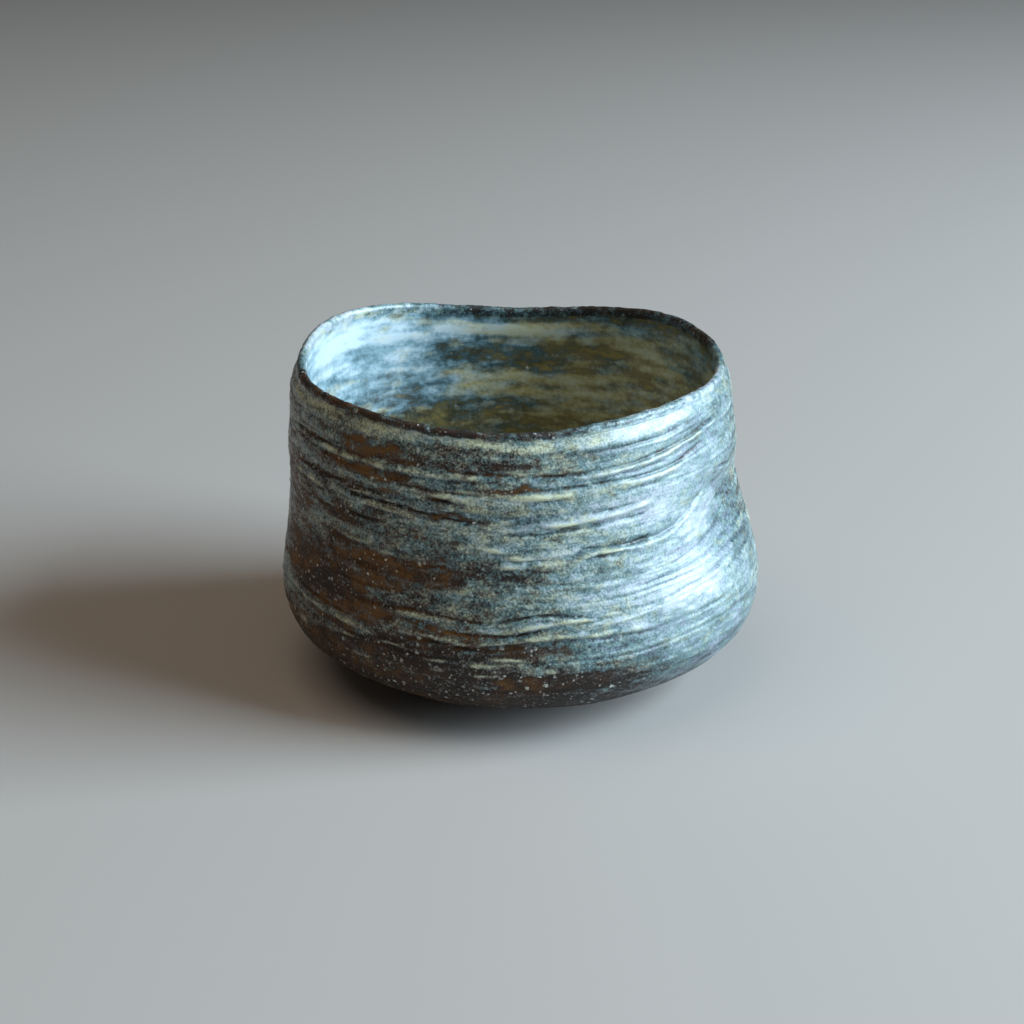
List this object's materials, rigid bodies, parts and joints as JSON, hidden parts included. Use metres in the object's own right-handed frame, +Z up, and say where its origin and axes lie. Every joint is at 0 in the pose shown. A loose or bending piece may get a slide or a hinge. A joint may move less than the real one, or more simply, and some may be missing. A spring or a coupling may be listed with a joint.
{
  "type": "tea bowl",
  "caption": "Hand-formed stoneware tea bowl: a low drum with a soft dent, a thin wavy lip and a foot ring, under a rough ash-like glaze outside and in, to drink whisked tea from.",
  "frame": {"origin": "centre of the foot ring's standing face, on the table", "axes": "+Z up out of the bowl's mouth, -Y towards the front as pictured, +X to the side with the thumb dent"},
  "size_m": [0.12, 0.12, 0.0809],
  "materials": {
    "bare_clay": "satin",
    "outer_glaze": "satin",
    "inner_glaze": "satin"
  },
  "bodies": {
    "root": {"clay_body": "bare_clay", "foot_ring": "bare_clay", "outer_glaze": "outer_glaze", "inner_glaze": "inner_glaze"}
  },
  "joints": []
}
